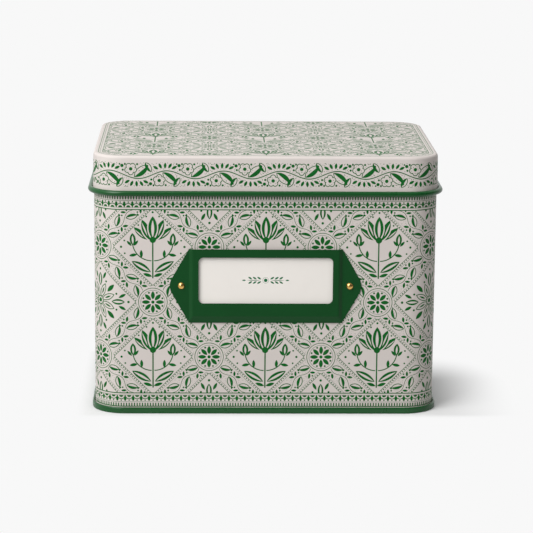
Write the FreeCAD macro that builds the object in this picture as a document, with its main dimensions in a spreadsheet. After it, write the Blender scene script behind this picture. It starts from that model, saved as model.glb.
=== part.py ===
import FreeCAD, Part
import math
import os

import Sketcher

# A recipe tin: a tinplate box for upright recipe cards, with a lid that swings on two wire hinges
# hidden in the curled edge at the back, and a riveted holder with a paper label on the front.
# Millimetres. X runs along the front, Y from front to back and Z up. The origin is on the surface
# that the tin stands on, under its middle.

driving_sizes = {
    "body_width": 177.8,  # outside of the wall, left to right
    "body_depth": 127.0,  # outside of the wall, front to back
    "corner_round": 16.0,  # upright corners, on the outside of the wall
    "lid_top": 135.6,  # the lid's top above the ground
    "lid_line": 116.5,  # middle of the lid's curled edge, and of the hinge wires
    "sheet": 0.3,  # tinplate of the wall, the base, the lid and the hinge straps
    "fold_round": 0.6,  # inside of an ordinary bend
    "seam_height": 3.2,  # double seam between the wall and the base
    "seam_gap": 0.2,  # lining compound between the seam's layers
    "seam_heel": 0.5,  # outer rounding under the seam
    "base_rise": 3.6,  # underside of the base panel above the ground
    "panel_margin": 7.0,  # flat rim of the base panel before its step
    "panel_step": 0.8,  # rise of the base panel's middle
    "ring_width": 12.0,  # what is bent of the base and the lid, inwards from the wall's outside
    "neck_inset": 1.6,  # how far the wall steps in under the lid
    "neck_start": 0.5,  # start of the step above the lid line
    "rim_gap": 0.25,  # air between the rim and the closed lid
    "hem_gap": 0.3,  # inside the rim's folded hem
    "hem_length": 4.0,
    "curl_round": 1.45,  # outside of the lid's curled edge
    "lid_gap": 0.22,  # air between the wall and the lid's skirt at the curl
    "lid_draft": 0.9,  # lean of the lid's skirt, in degrees
    "lid_round": 1.5,  # rounding of the lid's top edge
    "hinge_spread": 104.0,  # between the middles of the two hinges
    "strap_width": 11.0,
    "strap_rise": 14.0,  # top of a strap above the lid line
    "strap_drop": 0.6,  # end of a strap's slant above the lid line
    "wire_offset": 0.16,  # wires lie off the curl's middle, towards the wall
    "wire_play": 0.06,  # running fit of a strap's eye on its wire
    "wire_length": 36.0,
    "notch_play": 0.5,  # room beside a strap in the lid's notch
    "notch_rise": 2.0,  # top of the notch above the lid line
    "lock_width": 4.0,  # folded side seam inside the back wall
    "lock_layers": 3.0,  # its layers, besides the wall itself
    "lock_foot": 6.6,  # its ends above the ground
    "lock_top": 114.5,
    "lock_groove": 0.4,  # line that the side seam leaves outside
    "lock_groove_depth": 0.12,
    "label_line": 68.0,  # middle of the label holder above the ground
    "holder_width": 101.3,  # tip to tip, before the tips are rounded
    "holder_height": 38.9,
    "holder_plate": 0.5,  # its sheet
    "holder_stand": 1.9,  # its raised face above the wall
    "face_width": 79.2,  # foot of the raised part
    "face_slope": 1.8,  # width of its two side slopes
    "sill_slope": 3.4,  # width of its bottom slope
    "sill_margin": 0.3,  # flat edge under that slope
    "tip_round": 7.6,
    "heel_round": 1.2,  # lower corners of the holder
    "face_round": 1.6,
    "window_width": 69.3,
    "window_height": 24.2,
    "window_rise": 3.1,  # window's middle above the holder's
    "window_round": 2.5,
    "card_width": 74.6,
    "card_height": 35.0,
    "card_rise": 0.2,  # card's middle above the holder's
    "card_sheet": 0.4,
    "card_gap": 0.25,  # air behind the card
    "rivet_spread": 87.0,
    "rivet_head": 1.85,  # radius of the domed head
    "rivet_dome": 1.15,  # its height
    "rivet_shank": 0.95,
    "rivet_play": 0.05,
    "clinch_round": 1.6,
    "clinch_height": 0.5,
    "cut_past": 1.0,  # how far a cut runs on past what it cuts
}

curl_sweep = 314.1  # degrees that the lid's edge is rolled through
shoulder_lean = 60.0  # slope of the neck's step, in degrees off the wall
panel_lean = 45.0  # slope of the base panel's step
strap_lean = 40.0  # slope of a strap between its leaf and its eye, off the wall
eye_sweep = 300.0  # degrees that a strap is rolled through
small_flats = 60.0  # turn of each flat in a small bend that goes round the tin's corners
large_flats = 45.0  # and in the lid's larger bends
flats_slack = 1.0  # degrees that a bend's own flats may turn by more than that, halved

up, down, inward = 90.0, -90.0, 180.0  # headings in a section whose x points outwards
hair = 0.01  # places closer than this are the same

doc = FreeCAD.newDocument("recipe_tin")
sheet = doc.addObject("Spreadsheet::Sheet", "Tin")
for row, (alias, size) in enumerate(driving_sizes.items(), start=1):
    sheet.set(f"A{row}", alias)
    sheet.set(f"B{row}", str(size))
    sheet.setAlias(f"B{row}", alias)
doc.recompute()

half_width = "Tin.body_width / 2"
half_depth = "Tin.body_depth / 2"
curl_middle = "(Tin.lid_gap + Tin.curl_round)"
curl_bore = f"(Tin.curl_round * cos({large_flats / 2 + flats_slack}) - Tin.sheet)"
wire_radius = f"({curl_bore} - Tin.wire_offset)"
eye_radius = f"({wire_radius} + Tin.wire_play)"
wire_line = f"({half_depth} + {curl_middle} - Tin.wire_offset)"
layer = "(Tin.sheet + Tin.seam_gap)"


def value(expression):
    return float(sheet.evalExpression(expression))


# Sketches


def fix(sketch, name, kind, *where, expression):
    """Adds a named size to a sketch and ties it to the sheet."""
    amount = value(expression)
    if kind == "Angle":
        amount = math.radians(amount)
    number = sketch.addConstraint(Sketcher.Constraint(kind, *where, amount))
    sketch.renameConstraint(number, name)
    unit = " * 1 deg" if kind == "Angle" else ""
    sketch.setExpression(f"Constraints.{name}", f"({expression}){unit}")


def rounded_outline(sketch, half_x, half_y, corner, rise="0"):
    """Draws a rectangle with round corners about the sketch's origin, or risen above it."""
    x, y, r, middle = value(half_x), value(half_y), value(corner), value(rise)
    quarter = math.pi / 2
    sides = [
        ((x, r - y), (x, y - r)),
        ((x - r, y), (r - x, y)),
        ((-x, y - r), (-x, r - y)),
        ((r - x, -y), (x - r, -y)),
    ]
    centres = [(x - r, y - r), (r - x, y - r), (r - x, r - y), (x - r, r - y)]
    for number, ((start, end), centre) in enumerate(zip(sides, centres)):
        points = [FreeCAD.Vector(px, py + middle, 0) for px, py in (start, end, centre)]
        sketch.addGeometry(Part.LineSegment(points[0], points[1]))
        circle = Part.Circle(points[2], FreeCAD.Vector(0, 0, 1), r)
        sketch.addGeometry(Part.ArcOfCircle(circle, number * quarter, (number + 1) * quarter))
    for number in range(8):
        sketch.addConstraint(Sketcher.Constraint("Tangent", number, 2, (number + 1) % 8, 1))
    for number, kind in enumerate(("Vertical", "Horizontal") * 2):
        sketch.addConstraint(Sketcher.Constraint(kind, 2 * number))
    for number in (3, 5, 7):
        sketch.addConstraint(Sketcher.Constraint("Equal", 1, number))
    fix(sketch, "corner", "Radius", 1, expression=corner)
    fix(sketch, "right", "DistanceX", -1, 1, 0, 1, expression=half_x)
    fix(sketch, "left", "DistanceX", 4, 1, -1, 1, expression=half_x)
    fix(sketch, "far", "DistanceY", -1, 1, 2, 1, expression=f"{half_y} + {rise}")
    fix(sketch, "near", "DistanceY", 6, 1, -1, 1, expression=f"{half_y} - {rise}")


def run(heading, **end):
    """A straight stretch that ends at the given x or z."""
    (axis, goal), = end.items()
    return heading, axis, goal


def step_along(heading):
    return FreeCAD.Vector(math.cos(math.radians(heading)), math.sin(math.radians(heading)), 0)


def keep_heading(sketch, number, heading):
    if heading % 180 == 0:
        sketch.addConstraint(Sketcher.Constraint("Horizontal", number))
    elif heading % 180 == 90:
        sketch.addConstraint(Sketcher.Constraint("Vertical", number))
    else:
        fix(sketch, f"lean{number}", "Angle", number, expression=str((heading + 180) % 360 - 180))


def bent_line(sketch, start, heading, *steps, flat_turn=None, last_turn=None):
    """Draws one face of a bent sheet: straight runs, with a bend between each two.

    Each step is a run or the radius of a bend. Headings are degrees from the sketch's x axis, and a
    bend turns left where the heading grows and right where it falls. A bend at the end turns through
    last_turn. Bends are round, or with flat_turn they are short flats that turn by about as much each.
    """
    place = FreeCAD.Vector(value(start[0]), value(start[1]), 0)
    joints = []

    def draw(shape, near=1, far=2):
        """Adds a stretch that carries on from the one before."""
        number = sketch.addGeometry(shape)
        if joints:
            kind = "Coincident" if flat_turn else "Tangent"
            sketch.addConstraint(Sketcher.Constraint(kind, number - 1, joints[-1], number, near))
        else:
            fix(sketch, "start_x", "DistanceX", -1, 1, 0, near, expression=start[0])
            fix(sketch, "start_z", "DistanceY", -1, 1, 0, near, expression=start[1])
        joints.append(far)
        return number

    for index, step in enumerate(steps):
        if isinstance(step, tuple):
            heading, axis, goal = step
            way = step_along(heading)
            part, kind = (0, "DistanceX") if axis == "x" else (1, "DistanceY")
            stop = place + way * ((value(goal) - place[part]) / way[part])
            number = draw(Part.LineSegment(place, stop))
            keep_heading(sketch, number, heading)
            fix(sketch, f"end{number}", kind, -1, 1, number, 2, expression=goal)
            place = stop
            continue
        after = steps[index + 1][0] if index + 1 < len(steps) else heading + last_turn
        turn = after - heading
        if flat_turn:
            flats = max(1, round(abs(turn) / flat_turn))
            length = f"2 * {step} * sin({abs(turn) / flats / 2})"
            for flat in range(flats):
                lean = heading + turn * (flat + 0.5) / flats
                stop = place + step_along(lean) * value(length)
                number = draw(Part.LineSegment(place, stop))
                keep_heading(sketch, number, lean)
                fix(sketch, f"flat{number}", "Distance", number, expression=length)
                place = stop
        else:
            side = 1 if turn > 0 else -1
            angles = [math.radians(h - 90 * side) for h in (heading, after)]
            centre = place - step_along(heading - 90 * side) * value(step)
            circle = Part.Circle(centre, FreeCAD.Vector(0, 0, 1), value(step))
            arc = Part.ArcOfCircle(circle, min(angles), max(angles))
            number = draw(arc, *((1, 2) if side > 0 else (2, 1)))
            fix(sketch, f"round{number}", "Radius", number, expression=step)
            place = centre + step_along(after - 90 * side) * value(step)
        heading = after
    if last_turn:
        fix(sketch, "last_turn", "Angle", number, expression=str(abs(last_turn)))


# Bent sheet: a section taken round the tin, or drawn out along X


def bent_section(name, turn, *line, side, **bends):
    """The section of a bent sheet that lies to the right of its line, or to the left with side -1.

    An open line's offset can come out on either side, so a point inside the sheet settles its sign.
    """
    sketch = doc.addObject("Sketcher::SketchObject", f"{name}_line")
    sketch.Placement.Rotation = turn
    bent_line(sketch, *line, **bends)
    section = doc.addObject("Part::Offset2D", f"{name}_section")
    section.Source = sketch
    section.Mode = "Skin"
    section.Join = "Intersection"
    section.Fill = True
    section.setExpression("Value", "Tin.sheet")
    doc.recompute()
    start, heading = line[0], math.radians(line[1])
    across = FreeCAD.Vector(math.sin(heading), -math.cos(heading), 0) * (side * value("Tin.sheet") / 2)
    a_little = FreeCAD.Vector(math.cos(heading), math.sin(heading), 0) * (value("Tin.sheet") / 10)
    within = FreeCAD.Vector(value(start[0]), value(start[1]), 0) + across + a_little
    if not section.Shape.isInside(sketch.Placement.multVec(within), hair, True):
        section.setExpression("Value", "-Tin.sheet")
        doc.recompute()
    return sketch, section


def drawn_out(name, section, way, length):
    sheet_metal = doc.addObject("Part::Extrusion", name)
    sheet_metal.Base = section
    sheet_metal.Dir = way
    sheet_metal.setExpression("LengthFwd", length)
    sheet_metal.Solid = True
    return sheet_metal


def mirrored(name, piece, normal):
    other = doc.addObject("Part::Mirroring", name)
    other.Source = piece
    other.Normal = normal
    return other


def round_the_tin(name, *line, side, flat_turn):
    """Takes the section of a bent sheet all the way round: a quarter of the tin, mirrored twice."""
    how = {"side": side, "flat_turn": flat_turn}
    upright = FreeCAD.Rotation(FreeCAD.Vector(1, 0, 0), 90)
    quarter_turn = FreeCAD.Rotation(FreeCAD.Vector(0, 0, 1), -90)
    corner_x, corner_y = f"{half_width} - Tin.corner_round", f"Tin.corner_round - {half_depth}"
    side_line, side_section = bent_section(f"{name}_side", upright, *line, **how)
    side_line.setExpression("Placement.Base.y", corner_y)
    front_line, front_section = bent_section(f"{name}_front", quarter_turn * upright, *line, **how)
    front_line.setExpression("Placement.Base.x", corner_x)
    front_line.setExpression("Placement.Base.y", f"{half_width} - {half_depth}")
    corner = doc.addObject("Part::Revolution", f"{name}_corner")
    corner.Source = side_section
    corner.Axis = FreeCAD.Vector(0, 0, 1)
    corner.setExpression("Base.x", corner_x)
    corner.setExpression("Base.y", corner_y)
    corner.Angle = -90
    corner.Solid = True
    quarter = join(
        f"{name}_quarter",
        drawn_out(f"{name}_side_stretch", side_section, FreeCAD.Vector(0, 1, 0), f"-({corner_y})"),
        corner,
        drawn_out(f"{name}_front_stretch", front_section, FreeCAD.Vector(-1, 0, 0), corner_x),
    )
    half = join(f"{name}_half", quarter, mirrored(f"{name}_left", quarter, FreeCAD.Vector(1, 0, 0)))
    return join(f"{name}_ring", half, mirrored(f"{name}_back", half, FreeCAD.Vector(0, 1, 0)))


def middle_plate(name, height):
    """The flat middle of the base or the lid, inside what is bent of it."""
    sketch = doc.addObject("Sketcher::SketchObject", f"{name}_outline")
    sketch.setExpression("Placement.Base.z", height)
    inset = "- Tin.ring_width"
    rounded_outline(sketch, half_width + inset, half_depth + inset, "Tin.corner_round" + inset)
    return drawn_out(f"{name}_middle", sketch, FreeCAD.Vector(0, 0, 1), "Tin.sheet")


def block(name, sizes, corner):
    """A box with the given length, width and height, from its low corner."""
    box = doc.addObject("Part::Box", name)
    for prop, expression in zip(("Length", "Width", "Height"), sizes):
        box.setExpression(prop, expression)
    for axis, expression in zip("xyz", corner):
        box.setExpression(f"Placement.Base.{axis}", expression)
    return box


def round_bar(name, radius, length, axis, start):
    """A cylinder along an axis, from its start."""
    bar = doc.addObject("Part::Cylinder", name)
    bar.Placement.Rotation = FreeCAD.Rotation(FreeCAD.Vector(0, 0, 1), axis)
    bar.setExpression("Radius", radius)
    bar.setExpression("Height", length)
    for letter, expression in zip("xyz", start):
        bar.setExpression(f"Placement.Base.{letter}", expression)
    return bar


def join(name, *pieces):
    fuse = doc.addObject("Part::MultiFuse", name)
    fuse.Shapes = list(pieces)
    fuse.Refine = True
    return fuse


def cut_away(name, base, *tools):
    cut = doc.addObject("Part::Cut", name)
    cut.Base = base
    cut.Tool = join(f"{name}_tools", *tools) if len(tools) > 1 else tools[0]
    cut.Refine = True
    return cut


def body_wall():
    """The wall: body hook, wall, step, neck and folded rim, closed by a side seam at the back."""
    fold = "(Tin.seam_gap + Tin.sheet / 2)"
    hook_top = f"Tin.seam_height - {layer}"
    fold_line = f"{layer} + Tin.sheet + {fold}"
    slant = shoulder_lean
    rim_round = "(Tin.hem_gap / 2 + Tin.sheet)"
    rim_line = f"Tin.lid_top - Tin.sheet - Tin.rim_gap - {rim_round}"
    ring = round_the_tin(
        "wall",
        (f"{half_width} + 2 * {fold}", hook_top),
        down,
        run(down, z=fold_line),
        fold,
        run(up - 360, z="Tin.lid_line + Tin.neck_start"),
        "Tin.fold_round + Tin.sheet",
        run(up - 360 + slant, x=f"{half_width} - Tin.neck_inset + Tin.fold_round * (1 - cos({slant}))"),
        "Tin.fold_round",
        run(up - 360, z=rim_line),
        rim_round,
        run(down, z=f"{rim_line} - Tin.hem_length"),
        side=-1,
        flat_turn=small_flats,
    )
    lock = block(
        "side_seam",
        ("Tin.lock_width", "Tin.lock_layers * Tin.sheet", "Tin.lock_top - Tin.lock_foot"),
        ("-Tin.lock_width / 2", f"{half_depth} - (Tin.lock_layers + 1) * Tin.sheet", "Tin.lock_foot"),
    )
    groove = block(
        "side_seam_groove",
        ("Tin.lock_groove", "Tin.lock_groove_depth + Tin.cut_past", "Tin.lid_line - Tin.seam_height"),
        ("Tin.lock_width / 2", f"{half_depth} - Tin.lock_groove_depth", "Tin.seam_height - Tin.sheet"),
    )
    holes = [
        round_bar(
            f"wall_hole_{side}",
            "Tin.rivet_shank + Tin.rivet_play",
            "Tin.sheet + 2 * Tin.cut_past",
            FreeCAD.Vector(0, 1, 0),
            (f"{sign} * Tin.rivet_spread / 2", f"-{half_depth} - Tin.cut_past", "Tin.label_line"),
        )
        for side, sign in (("left", -1), ("right", 1))
    ]
    return cut_away("body_wall", join("wall_with_seam", ring, lock), groove, *holes)


def base_panel():
    """The base: cover hook, seaming wall, countersink and a panel with a raised middle."""
    fold = "(Tin.seam_gap + 1.5 * Tin.sheet)"
    outside = f"{half_width} + Tin.seam_gap"
    chuck = f"{half_width} - Tin.sheet - {layer}"
    slant = panel_lean
    ring = round_the_tin(
        "base",
        (outside, f"2 * {layer} + Tin.seam_gap"),
        up,
        run(up, z=f"Tin.seam_height - {fold}"),
        fold,
        run(down, z="Tin.seam_heel"),
        "Tin.seam_heel",
        run(inward - 360, x=chuck),
        run(up - 360, z="Tin.base_rise - Tin.fold_round"),
        "Tin.fold_round",
        run(inward - 360, x=f"{chuck} - Tin.fold_round - Tin.panel_margin"),
        "Tin.fold_round + Tin.sheet",
        run(inward - 360 - slant, z=f"Tin.base_rise + Tin.panel_step - Tin.fold_round * (1 - cos({slant}))"),
        "Tin.fold_round",
        run(inward - 360, x=f"{half_width} - Tin.ring_width"),
        side=1,
        flat_turn=small_flats,
    )
    plate = middle_plate("base", "Tin.base_rise + Tin.panel_step")
    return join("base_panel", ring, plate)


def lid_shell():
    """The drawn lid: a flat top, a leaning skirt and an edge curled outwards, notched for the straps."""
    curl_x = f"{half_width} + {curl_middle}"
    lean = value("Tin.lid_draft")
    start_heading = curl_sweep - 360 + 90 + lean
    inner_round = "(Tin.lid_round - Tin.sheet)"
    ring = round_the_tin(
        "lid",
        (
            f"{curl_x} + Tin.curl_round * cos({start_heading + 90})",
            f"Tin.lid_line + Tin.curl_round * sin({start_heading + 90})",
        ),
        start_heading,
        "Tin.curl_round",
        run(
            up - 360 + lean,
            z=f"Tin.lid_top - Tin.sheet - {inner_round} * (1 - sin(Tin.lid_draft))",
        ),
        inner_round,
        run(inward - 360, x=f"{half_width} - Tin.ring_width"),
        side=1,
        flat_turn=large_flats,
    )
    plate = middle_plate("lid", "Tin.lid_top - Tin.sheet")
    notch_width = "(Tin.strap_width + 2 * Tin.notch_play)"
    notch_depth = "Tin.lid_gap + 2 * Tin.curl_round + 2 * Tin.cut_past"
    notches = [
        block(
            f"lid_notch_{side}",
            (notch_width, notch_depth, "Tin.notch_rise + Tin.curl_round + Tin.cut_past"),
            (
                f"{sign} * Tin.hinge_spread / 2 - {notch_width} / 2",
                f"{half_depth} - Tin.cut_past",
                "Tin.lid_line - Tin.curl_round - Tin.cut_past",
            ),
        )
        for side, sign in (("left", -1), ("right", 1))
    ]
    return cut_away("lid_shell", join("lid_whole", ring, plate), *notches)


def hinge_strap(side, sign):
    """A strap welded to the neck, which runs down over the step and rolls up round its wire."""
    facing_x = FreeCAD.Rotation(FreeCAD.Vector(1, 1, 1), 120)
    leaf_face = f"{half_depth} - Tin.neck_inset + Tin.sheet"
    eye_face = f"{wire_line} - {eye_radius}"
    slant = strap_lean
    sketch, section = bent_section(
        f"strap_{side}",
        facing_x,
        (leaf_face, "Tin.lid_line + Tin.strap_rise"),
        down,
        run(down, z=f"Tin.lid_line + {strap_bend_line()}"),
        "Tin.fold_round",
        run(down + slant, x=f"{eye_face} - (Tin.fold_round + Tin.sheet) * (1 - cos({slant}))"),
        "Tin.fold_round + Tin.sheet",
        run(down, z="Tin.lid_line"),
        eye_radius,
        side=1,
        last_turn=eye_sweep,
    )
    sketch.setExpression("Placement.Base.x", f"{sign} * Tin.hinge_spread / 2 - Tin.strap_width / 2")
    return drawn_out(f"hinge_strap_{side}", section, FreeCAD.Vector(1, 0, 0), "Tin.strap_width")


def strap_bend_line():
    """Where a strap's leaf ends, above the lid line."""
    slant = strap_lean
    bends = f"(2 * Tin.fold_round + Tin.sheet) * sin({slant})"
    across = f"(Tin.neck_inset - Tin.sheet + {curl_middle} - Tin.wire_offset - {eye_radius}" \
        f" - (2 * Tin.fold_round + Tin.sheet) * (1 - cos({slant})))"
    return f"(Tin.strap_drop + {bends} + {across} / tan({slant}))"


def hinge_wire(side, sign):
    """A length of wire that lies in the lid's curled edge and passes through a strap's eye."""
    start = f"{sign} * Tin.hinge_spread / 2 - Tin.wire_length / 2"
    axis = FreeCAD.Vector(1, 0, 0)
    return round_bar(f"wire_{side}", wire_radius, "Tin.wire_length", axis, (start, wire_line, "Tin.lid_line"))


# Solid pieces: the label holder, its card and its rivets


def new_body(name, *, at):
    body = doc.addObject("PartDesign::Body", name)
    for axis, expression in zip("xyz", at):
        body.setExpression(f"Placement.Base.{axis}", expression)
    return body


def sketch_in(body, name, role, lift="0"):
    """A sketch on one of the body's own planes, or lifted off it along its normal."""
    sketch = body.newObject("Sketcher::SketchObject", name)
    support = next(plane for plane in body.Origin.OriginFeatures if plane.Role == role)
    sketch.AttachmentSupport = [(support, "")]
    sketch.MapMode = "FlatFace"
    sketch.setExpression("AttachmentOffset.Base.z", lift)
    return sketch


def closed_outline(sketch, corners):
    """Draws straight sides through the corners, each given as two expressions."""
    points = [FreeCAD.Vector(value(x), value(y), 0) for x, y in corners]
    for number, point in enumerate(points):
        sketch.addGeometry(Part.LineSegment(point, points[(number + 1) % len(points)]))
    for number, (x, y) in enumerate(corners):
        before = (number - 1) % len(corners)
        sketch.addConstraint(Sketcher.Constraint("Coincident", before, 2, number, 1))
        fix(sketch, f"x{number}", "DistanceX", -1, 1, number, 1, expression=x)
        fix(sketch, f"y{number}", "DistanceY", -1, 1, number, 1, expression=y)


def pad(body, name, sketch, length):
    feature = body.newObject("PartDesign::Pad", name)
    feature.Profile = sketch
    feature.setExpression("Length", length)
    doc.recompute()
    return feature


def pocket(body, name, sketch):
    """Cuts the sketch through the whole body, both ways."""
    feature = body.newObject("PartDesign::Pocket", name)
    feature.Profile = sketch
    feature.Type = "ThroughAll"
    feature.Midplane = True
    doc.recompute()
    return feature


def round_edges(body, name, base, radius, wanted):
    """Rounds the edges of the base whose shape passes the test."""
    feature = body.newObject("PartDesign::Fillet", name)
    edges = [f"Edge{n}" for n, edge in enumerate(base.Shape.Edges, start=1) if wanted(edge)]
    feature.Base = (base, edges)
    feature.setExpression("Radius", radius)
    doc.recompute()
    return feature


def along_normal(edge):
    """True for an edge square to the holder's and the card's face."""
    box = edge.BoundBox
    return box.XLength < hair and box.ZLength < hair and box.YLength > hair


def raised_outline(body, name, lift, spread, sill, crest):
    """A rectangle lifted off the wall, given by its half width, its foot and its head."""
    sketch = sketch_in(body, name, "XZ_Plane", lift)
    corners = [(spread, sill), (spread, crest), (f"-({spread})", crest), (f"-({spread})", sill)]
    closed_outline(sketch, corners)
    return sketch


def label_holder():
    """The pressed holder: flat ears, a raised face with a window and a pocket open at the top."""
    body = new_body("label_holder", at=("0", f"-{half_depth}", "Tin.label_line"))
    tip, shoulder, crest = "Tin.holder_width / 2", "Tin.face_width / 2", "Tin.holder_height / 2"
    outline = sketch_in(body, "holder_outline", "XZ_Plane")
    corners = [
        (tip, "0"),
        (shoulder, crest),
        (f"-{shoulder}", crest),
        (f"-{tip}", "0"),
        (f"-{shoulder}", f"-{crest}"),
        (shoulder, f"-{crest}"),
    ]
    closed_outline(outline, corners)
    plate = pad(body, "holder_plate", outline, "Tin.holder_plate")
    top = value(crest)

    def at_tip(edge):
        return along_normal(edge) and abs(edge.BoundBox.ZMin) < hair

    def at_heel(edge):
        return along_normal(edge) and edge.BoundBox.ZMin < hair - top

    ends = round_edges(body, "holder_tips", plate, "Tin.tip_round", at_tip)
    round_edges(body, "holder_heels", ends, "Tin.heel_round", at_heel)

    sill = f"Tin.sill_margin - {crest}"
    foot = raised_outline(body, "face_foot", "Tin.holder_plate", shoulder, sill, crest)
    face_spread, face_sill = f"{shoulder} - Tin.face_slope", f"{sill} + Tin.sill_slope"
    face = raised_outline(body, "face_edge", "Tin.holder_stand", face_spread, face_sill, crest)
    raised = body.newObject("PartDesign::AdditiveLoft", "face")
    raised.Profile = foot
    raised.Sections = [face]
    raised.Ruled = True
    doc.recompute()

    def rim_of_face(edge):
        box = edge.BoundBox
        front = box.YMin < hair - value("Tin.holder_stand")
        return front and not (box.ZLength < hair and box.ZMax > top - hair)

    round_edges(body, "face_rim", raised, "Tin.face_round", rim_of_face)

    # The pocket is one sheet behind the raised part, whose slopes are carried on down to the wall.
    depth = "(Tin.holder_stand - Tin.holder_plate)"
    side_wall = f"Tin.holder_plate * sqrt(1 + (Tin.face_slope / {depth}) ^ 2)"
    sill_wall = f"Tin.holder_plate * sqrt(1 + (Tin.sill_slope / {depth}) ^ 2)"
    spread = f"{shoulder} + Tin.face_slope * Tin.holder_plate / {depth} - {side_wall}"
    floor = f"{sill} - Tin.sill_slope * Tin.holder_plate / {depth} + {sill_wall}"
    mouth = f"{crest} + Tin.cut_past"
    foot = raised_outline(body, "pocket_foot", "0", spread, floor, mouth)
    face_spread, face_floor = f"{spread} - Tin.face_slope", f"{floor} + Tin.sill_slope"
    face = raised_outline(body, "pocket_face", depth, face_spread, face_floor, mouth)
    hollow = body.newObject("PartDesign::SubtractiveLoft", "pocket")
    hollow.Profile = foot
    hollow.Sections = [face]
    hollow.Ruled = True
    doc.recompute()

    window = sketch_in(body, "window_outline", "XZ_Plane")
    half_window = ("Tin.window_width / 2", "Tin.window_height / 2")
    rounded_outline(window, *half_window, "Tin.window_round", "Tin.window_rise")
    pocket(body, "window", window)
    holes = sketch_in(body, "rivet_holes", "XZ_Plane")
    for number, sign in enumerate((-1, 1)):
        middle = FreeCAD.Vector(value(f"{sign} * Tin.rivet_spread / 2"), 0, 0)
        radius = "Tin.rivet_shank + Tin.rivet_play"
        holes.addGeometry(Part.Circle(middle, FreeCAD.Vector(0, 0, 1), value(radius)))
        fix(holes, f"hole{number}", "Radius", number, expression=radius)
        fix(holes, f"x{number}", "DistanceX", -1, 1, number, 3, expression=f"{sign} * Tin.rivet_spread / 2")
        holes.addConstraint(Sketcher.Constraint("PointOnObject", number, 3, -1))
    pocket(body, "holes", holes)
    return body


def label_card():
    """The paper label that stands in the holder and slides out at its top."""
    body = new_body("label_card", at=("0", f"-{half_depth}", "Tin.label_line + Tin.card_rise"))
    half_height = "Tin.card_height / 2"
    outline = raised_outline(
        body, "card_outline", "Tin.card_gap", "Tin.card_width / 2", f"-{half_height}", half_height
    )
    pad(body, "card", outline, "Tin.card_sheet")
    return body


def rivet(side, sign):
    """A round-headed brass rivet, clinched inside the wall: an outline turned about its shank."""
    body = new_body(
        f"rivet_{side}", at=(f"{sign} * Tin.rivet_spread / 2", f"-{half_depth}", "Tin.label_line")
    )
    sketch = sketch_in(body, f"rivet_{side}_half", "YZ_Plane")
    ball = "((Tin.rivet_head ^ 2 + Tin.rivet_dome ^ 2) / (2 * Tin.rivet_dome))"
    spread = f"asin(Tin.rivet_head / {ball})"
    top = "-Tin.holder_plate - Tin.rivet_dome"
    inside, end = "Tin.sheet", "Tin.sheet + Tin.clinch_height"
    closed_outline(
        sketch,
        [
            (top, "0"),
            (f"{top} + {ball} * (1 - cos({spread} / 2))", f"{ball} * sin({spread} / 2)"),
            ("-Tin.holder_plate", "Tin.rivet_head"),
            ("-Tin.holder_plate", "Tin.rivet_shank"),
            (inside, "Tin.rivet_shank"),
            (inside, "Tin.clinch_round"),
            (end, "Tin.clinch_round"),
            (end, "0"),
        ],
    )
    turned = body.newObject("PartDesign::Revolution", f"rivet_{side}_turned")
    turned.Profile = sketch
    turned.ReferenceAxis = (sketch, ["H_Axis"])
    turned.Angle = 360
    doc.recompute()
    return body


pieces = {
    "body_wall": body_wall(),
    "base_panel": base_panel(),
    "lid_shell": lid_shell(),
    "label_holder": label_holder(),
    "label_card": label_card(),
}
for side, sign in (("left", -1), ("right", 1)):
    pieces[f"hinge_strap_{side}"] = hinge_strap(side, sign)
    pieces[f"hinge_wire_{side}"] = hinge_wire(side, sign)
    pieces[f"rivet_{side}"] = rivet(side, sign)
for name, piece in pieces.items():
    piece.Label = name
doc.recompute()

for thing in doc.Objects:
    if {"Invalid", "Error"} & set(thing.State):
        raise RuntimeError(f"{thing.Name} failed: {thing.State}")
for name, piece in pieces.items():
    shape = piece.Shape
    if shape.isNull() or not shape.isValid() or len(shape.Solids) != 1:
        raise RuntimeError(f"{name} isn't one valid solid")

os.makedirs("parts", exist_ok=True)
for name, piece in pieces.items():
    piece.Shape.exportStep(f"parts/{name}.step")
    box = piece.Shape.BoundBox
    print(f"{name}: {box.XLength:.2f} x {box.YLength:.2f} x {box.ZLength:.2f}, {piece.Shape.Volume:.1f} mm3")
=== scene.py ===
import math
from functools import reduce

import bmesh
import bpy
from mathutils import Euler, Matrix, Vector


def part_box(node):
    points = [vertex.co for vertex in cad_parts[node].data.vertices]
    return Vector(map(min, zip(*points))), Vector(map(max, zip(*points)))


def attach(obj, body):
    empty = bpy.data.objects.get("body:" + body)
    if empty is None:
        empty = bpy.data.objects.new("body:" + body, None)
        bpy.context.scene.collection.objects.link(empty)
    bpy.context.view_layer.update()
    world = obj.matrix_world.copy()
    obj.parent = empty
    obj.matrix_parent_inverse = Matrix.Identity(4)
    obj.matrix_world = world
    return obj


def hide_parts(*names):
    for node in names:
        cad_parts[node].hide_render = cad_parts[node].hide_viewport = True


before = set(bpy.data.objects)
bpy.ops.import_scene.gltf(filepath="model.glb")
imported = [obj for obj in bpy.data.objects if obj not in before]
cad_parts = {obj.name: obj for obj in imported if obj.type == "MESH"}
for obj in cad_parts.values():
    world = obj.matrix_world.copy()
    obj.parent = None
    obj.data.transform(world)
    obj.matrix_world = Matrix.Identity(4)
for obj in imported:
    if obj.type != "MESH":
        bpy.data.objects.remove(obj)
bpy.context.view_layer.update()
scene = bpy.context.scene
mm = 0.001  # the pieces' own numbers are in millimetres, Blender's in metres

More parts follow.
